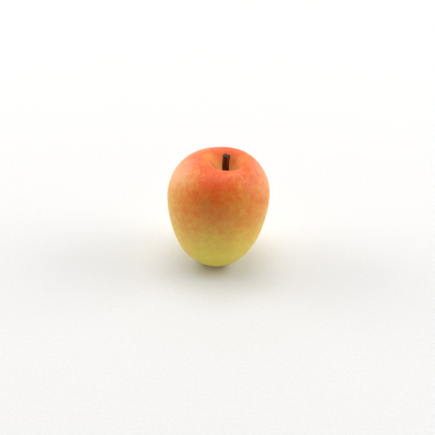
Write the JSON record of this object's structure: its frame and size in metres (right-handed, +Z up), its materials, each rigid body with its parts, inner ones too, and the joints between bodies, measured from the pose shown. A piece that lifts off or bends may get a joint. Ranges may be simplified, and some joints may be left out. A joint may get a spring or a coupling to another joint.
{
  "type": "apple",
  "caption": "Tall, conical red-and-yellow apple as picked, standing on its calyx end, with a short stout stalk in its cavity and a dried calyx beneath.",
  "frame": {"origin": "on the surface that the apple stands on, under the middle of its outline seen from above", "axes": "+Z up, from the calyx to the stalk; the view of the picture looks along +Y and down, with +X to its right"},
  "size_m": [0.062, 0.062, 0.0745],
  "materials": {
    "skin": "satin, waxy fruit skin, yellow-green at the foot and flushed orange-red over the shoulders",
    "bark": "dull dark brown bark with a grey, broken end",
    "dry_calyx": "dull, dried brown sepals and stamens"
  },
  "bodies": {
    "root": {"fruit": "skin", "stalk": "bark", "calyx": "dry_calyx"}
  },
  "joints": []
}
